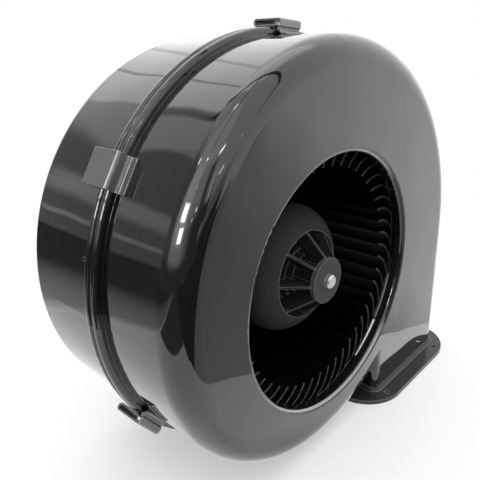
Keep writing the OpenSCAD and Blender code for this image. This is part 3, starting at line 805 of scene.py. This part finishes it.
board("shade", turn=(165, 232), height=(2, 22), glow=0.42, soft=(10, 8, 3, 9), reach=2.9)
board("camera_curtain", turn=(166, 236), height=(-2, 8), glow=0.03, soft=(3, 12, 0, 3), reach=2.88)
board("left_dark", turn=(-166, -104), height=(-2, 31), glow=0.09, soft=(3, 34, 0, 10), reach=2.86)
board("streak", turn=(-150, -135), height=(22, 47), glow=0.2, soft=(3, 3, 3, 2), reach=2.84)
board("left_curtain", turn=(-130, -50), height=(-4, 11), glow=0.1, soft=(0, 4, 0, 6), reach=2.82)

# Slits of light and the panes of the windows.
board("slit_high", turn=(-162, -153), height=(20.5, 40), glow=1.5, soft=(2, 2, 2, 8), reach=2.8)
board("slit_low", turn=(-165, -154), height=(5, 13), glow=0.62, soft=(3, 3, 3, 3), reach=2.8)
board("window_glow", turn=(-112, -60), height=(13, 58), glow=1.75, soft=(8, 18, 10, 8), reach=2.78)
board("pane_low", turn=(-104.5, -89), height=(18, 25.4), glow=12.0, soft=(0.5, 1, 0.5, 0.3), reach=2.76)
board("pane_high", turn=(-103, -81), height=(27.2, 35.2), glow=12.0, soft=(3, 3, 0.3, 1), reach=2.76)
board("pane_a", turn=(-169.5, -164), height=(28, 29.8), glow=8.0, soft=(0.5, 0.5, 0.5, 0.5), reach=1.3)
board("pane_b", turn=(-150.5, -141.5), height=(47.8, 50.5), glow=10.0, soft=(0.5, 0.5, 0.3, 0.3), reach=1.3)
board("pane_c", turn=(-131, -128.5), height=(26.9, 28.6), glow=11.0, soft=(0.3, 0.3, 0.3, 0.3), reach=1.3)
board("pane_d", turn=(-126, -123.4), height=(24, 25.6), glow=6.0, soft=(0.3, 0.3, 0.3, 0.3), reach=1.3)
board("pane_e", turn=(-66.5, -61), height=(49.8, 52.8), glow=9.0, soft=(0.5, 0.5, 0.3, 0.3), reach=1.3)
board("pane_f", turn=(-104, -98), height=(54, 55.4), glow=11.0, soft=(0.3, 0.3, 0.3, 0.3), reach=1.3)
board("pane_g", turn=(-70, -59), height=(76.5, 80.5), glow=9.0, soft=(1, 1, 0.5, 0.5), reach=1.3)
board("pane_h", turn=(176.8, 179), height=(31.6, 32.8), glow=4.0, soft=(0.3, 0.3, 0.3, 0.3), reach=1.3)
board("pane_i", turn=(-108.5, -106.3), height=(41, 42), glow=5.0, soft=(0.3, 0.3, 0.3, 0.3), reach=1.3)


# Lamps
# One large overhead softbox and a soft wall of light on the right, at a plain level.
# Gloss doesn't see them, because the boards stand for what it mirrors.
def softbox(name, place, width, height, radiance):
    """A rectangular lamp of that radiance, turned to face the blower."""
    data = bpy.data.lights.new(name, "AREA")
    data.shape = "RECTANGLE"
    data.size = width
    data.size_y = height
    data.energy = radiance * math.pi * width * height
    made = bpy.data.objects.new(name, data)
    bpy.context.scene.collection.objects.link(made)
    made.location = place
    made.visible_glossy = False
    made.rotation_mode = "QUATERNION"
    made.rotation_quaternion = (Vector(place) - board_middle).to_track_quat("Z", "Y")


softbox("overhead_softbox", place=(-0.1, 0.1, 1.5), width=2.2, height=2.2, radiance=1.3)
softbox("right_softbox", place=(1.8, -0.3, 0.9), width=1.6, height=1.4, radiance=0.6)

# World
# The white of the studio, as bright as white paper to the eye and in gloss, and dimmer as light.
# Below the level of the blower it is dimmer still, because less light comes up from the table.
studio_fill = 0.75
table_fill = 0.25
fill_low = -0.3
fill_high = 0.1
world = bpy.data.worlds.new("studio")
bpy.context.scene.world = world
world.use_nodes = True
studio = world.node_tree
studio.nodes.clear()
path = add(studio, "ShaderNodeLightPath").outputs
seen = add(studio, "ShaderNodeMath", {0: path["Is Camera Ray"], 1: path["Is Glossy Ray"]}, operation="ADD")
shown = add(
    studio,
    "ShaderNodeMath",
    {0: seen.outputs["Value"], 1: path["Is Transmission Ray"]},
    operation="ADD",
    use_clamp=True,
)
way = add(studio, "ShaderNodeTexCoord").outputs["Generated"]
rise = add(studio, "ShaderNodeSeparateXYZ", {"Vector": way}).outputs["Z"]
fill = add(
    studio,
    "ShaderNodeMapRange",
    {
        "Value": rise,
        "From Min": fill_low,
        "From Max": fill_high,
        "To Min": table_fill,
        "To Max": studio_fill,
    },
).outputs["Result"]
level = add(studio, "ShaderNodeMapRange", {"Value": shown.outputs["Value"], "To Min": fill, "To Max": 1.0})
white = add(studio, "ShaderNodeBackground", {"Color": (1, 1, 1, 1), "Strength": level.outputs["Result"]})
add(studio, "ShaderNodeOutputWorld", {"Surface": white.outputs["Background"]})
bpy.context.scene.view_settings.view_transform = "Standard"
